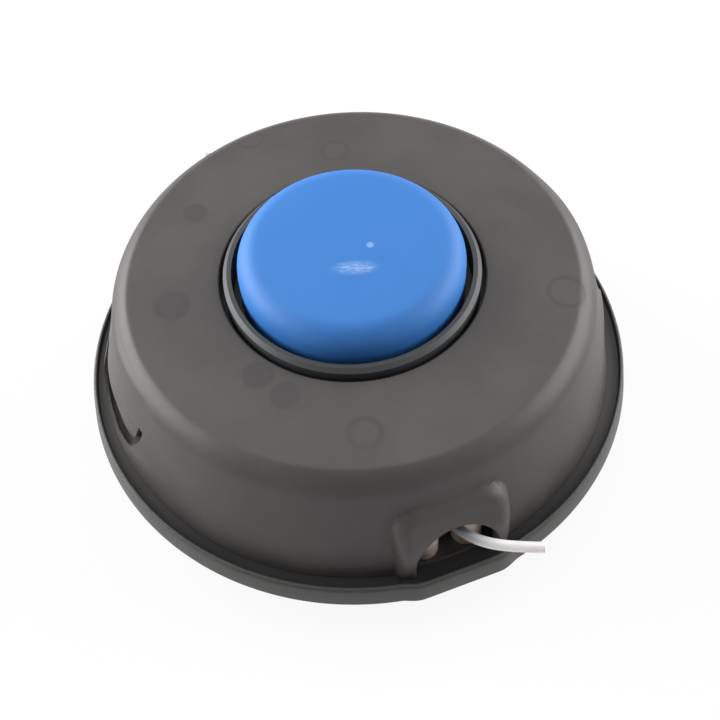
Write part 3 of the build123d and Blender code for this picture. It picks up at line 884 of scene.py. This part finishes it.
def rim_swell(radius, height, angle, outside):
    """Radius of the rim, drawn out to a straight lip in front of each outlet."""
    turn = nearest_turn(angle, outlet_angles)
    along = abs(flange_radius * sin(turn))
    if not outside or along > lip_end or abs(turn) > pi / 4:
        return radius
    share = min(max((lip_end - along) / (lip_end - lip_flat), 0.0), 1.0)
    share = share * share * (3 - 2 * share)
    return radius * (1 + (1 / cos(turn) - 1) * share)


def base_without_rim():
    """The base's own solid up to the core groove, closed where the rim comes off."""
    piece = merged_copy("base_middle", "base_housing")
    shape = bmesh.new()
    shape.from_mesh(piece.data)
    within = (core_inner - core_margin) * MM
    outside = [face for face in shape.faces if all(hypot(v.co.x, v.co.y) > within for v in face.verts)]
    bmesh.ops.delete(shape, geom=outside, context="FACES")
    open_edges = [edge for edge in shape.edges if edge.is_boundary]
    bmesh.ops.bridge_loops(shape, edges=open_edges)
    shape.to_mesh(piece.data)
    shape.free()
    return piece


rim = ring_shell("rim", rim_section(), cover_angles(), rim_swell)
finish_piece(join("base", [base_without_rim(), rim]), ["base_housing"])

# Pieces whose solids are already fine: one joined mesh each
for node in ("arbor_nut", "spool", "spring_washer", "tap_button"):
    finish_piece(merged_copy(node + "_body", node), [node])
for node in [n for n in frame["nodes"] if n.startswith("line_sleeve")]:
    finish_piece(merged_copy(node + "_tube", node), [node])

# Windings and return spring
winding_low, winding_high = extent("line_winding_lower")
row_height = (winding_high.z - winding_low.z) / winding_rows
for node in ("line_winding_lower", "line_winding_upper"):
    coil(node + "_turns", node, {
        "Turns": winding_turns, "Start Radius": winding_inner + line_diameter / 2,
        "End Radius": winding_outer, "Rise": 0.0, "Wire": line_diameter,
        "Foot": extent(node)[0].z + row_height / 2, "Rows": winding_rows, "Row Pitch": row_height,
        "Steps": winding_steps,
    })
spring = coil("spring_coil", "return_spring", {
    "Turns": spring_turns, "Start Radius": spring_radius, "End Radius": spring_radius,
    "Rise": spring_high.z - spring_low.z - spring_wire, "Wire": spring_wire,
    "Foot": spring_low.z + spring_wire / 2, "Rows": 1, "Row Pitch": 0.0, "Steps": spring_steps,
})
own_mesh(spring)


def line_end(name, node, outlet):
    """Free end of the cutting line, swept round on its route from the sleeves."""
    points = [
        (x * cos(outlet) - y * sin(outlet), x * sin(outlet) + y * cos(outlet), line_height)
        for x, y in line_route
    ]
    curve = bpy.data.curves.new(name, "CURVE")
    curve.dimensions = "3D"
    curve.bevel_depth = line_diameter / 2 * MM
    curve.bevel_resolution = 6
    curve.use_fill_caps = True
    curve.resolution_u = 16
    route = curve.splines.new("NURBS")
    route.points.add(len(points) - 1)
    for point, place in zip(route.points, points):
        point.co = (*(c * MM for c in place), 1.0)
    route.order_u = 3
    route.use_endpoint_u = True
    piece = bpy.data.objects.new(name, curve)
    bpy.context.collection.objects.link(piece)
    finish_piece(piece, [node])
    tuple(c * MM for c in points[0])


line_end("line_front", "line_end_front", outlet_angles[0])
line_end("line_rear", "line_end_rear", outlet_angles[1])


# View of the photograph, in degrees, millimetres and pixels
view_azimuth, view_elevation, view_roll = 72.0, 52.008, -3.522
view_distance, view_lens, view_sensor = 289.708, 62.5, 36.0
view_aim = Vector((0.0, 0.0, 37.0))
view_width = 720
aim_right, aim_up = 6.007, -60.602


def direction(azimuth, elevation):
    """Unit vector from the head towards an azimuth and elevation in degrees; azimuth 0 is -Y, 90 is +X."""
    around, height = radians(azimuth), radians(elevation)
    return Vector((sin(around) * cos(height), -cos(around) * cos(height), sin(height)))


def camera():
    """Camera fitted to the photograph: turned, tilted and aimed a little off the head's middle."""
    azimuth, roll = radians(view_azimuth), radians(view_roll)
    focal_pixels = view_width * view_lens / view_sensor
    back = direction(view_azimuth, view_elevation)
    level = Vector((cos(azimuth), sin(azimuth), 0.0))
    up = back.cross(level)
    right, above = level * cos(roll) + up * sin(roll), up * cos(roll) - level * sin(roll)
    look = (-back + right * (aim_right / focal_pixels) + above * (aim_up / focal_pixels)).normalized()
    right = (right - look * right.dot(look)).normalized()
    above = right.cross(look)
    turn = Matrix((right, above, -look)).transposed().to_4x4()
    data = bpy.data.cameras.new("photo_camera")
    data.lens, data.sensor_width = view_lens, view_sensor
    data.clip_start, data.clip_end = 0.01, 20.0
    made = bpy.data.objects.new("photo_camera", data)
    made.matrix_world = Matrix.Translation((view_aim + back * view_distance) * MM) @ turn
    bpy.context.collection.objects.link(made)
    bpy.context.scene.camera = made


def backdrop_share(tree):
    """1 for rays that should see plain white: the camera's, and those of gloss and glass."""
    rays = tree.nodes.new("ShaderNodeLightPath").outputs
    share = rays["Is Camera Ray"]
    for kind in ("Is Glossy Ray", "Is Transmission Ray"):
        either = tree.nodes.new("ShaderNodeMath")
        either.operation = "MAXIMUM"
        tree.links.new(share, either.inputs[0])
        tree.links.new(rays[kind], either.inputs[1])
        share = either.outputs[0]
    return share


def mixed_surface(tree, share, first, second, output):
    """Show the first shader, and the second by a share, on the tree's output."""
    mix = tree.nodes.new("ShaderNodeMixShader")
    for socket, link in zip(mix.inputs, (share, first.outputs[0], second.outputs[0])):
        tree.links.new(link, socket)
    tree.links.new(mix.outputs[0], tree.nodes.new(output).inputs["Surface"])


def white_room():
    """World that lights softly and looks plain white behind the head."""
    world = bpy.data.worlds.new("white_room")
    bpy.context.scene.world = world
    world.use_nodes = True
    tree = world.node_tree
    tree.nodes.clear()
    plain, white = (tree.nodes.new("ShaderNodeBackground") for _ in range(2))
    plain.inputs["Color"].default_value = (0.93, 0.95, 1.0, 1.0)
    plain.inputs["Strength"].default_value = 0.15
    white.inputs["Color"].default_value = (1.0, 1.0, 1.0, 1.0)
    mixed_surface(tree, backdrop_share(tree), plain, white, "ShaderNodeOutputWorld")


def pale_floor():
    """Pale paper under the head, lifted nearly to white where the camera sees it."""
    wide = 4000.0
    corners = [(-wide, -wide, 0), (wide, -wide, 0), (wide, wide, 0), (-wide, wide, 0)]
    floor = new_piece("floor", corners, [(0, 1, 2, 3)])
    paper = bpy.data.materials.new("pale_paper")
    paper.use_nodes = True
    tree = paper.node_tree
    tree.nodes.clear()
    matt = tree.nodes.new("ShaderNodeBsdfDiffuse")
    matt.inputs["Color"].default_value = (0.86, 0.86, 0.86, 1.0)
    glow = tree.nodes.new("ShaderNodeEmission")
    lifted = tree.nodes.new("ShaderNodeMath")
    lifted.operation = "MULTIPLY"
    lifted.inputs[1].default_value = 0.9
    tree.links.new(backdrop_share(tree), lifted.inputs[0])
    mixed_surface(tree, lifted.outputs[0], matt, glow, "ShaderNodeOutputMaterial")
    floor.data.materials.append(paper)


def softbox(name, azimuth, elevation, distance, size, power):
    """Square lamp that looks at the head; azimuth as seen in the photograph, 0 towards the camera."""
    place = direction(view_azimuth + azimuth, elevation) * distance
    lamp = bpy.data.lights.new(name, "AREA")
    lamp.size, lamp.energy = size, power
    made = bpy.data.objects.new(name, lamp)
    made.location = place
    made.visible_camera = False
    made.rotation_euler = (-place).to_track_quat("-Z", "Y").to_euler()
    bpy.context.collection.objects.link(made)


camera()
bpy.context.scene.view_settings.view_transform = "Standard"
white_room()
pale_floor()
softbox("overhead_lamp", 180.0, 70.0, 1.2, 0.9, 3.8)
softbox("left_lamp", -108.0, 12.0, 1.1, 1.3, 42.0)
softbox("right_lamp", 106.0, 12.0, 1.1, 1.3, 32.0)
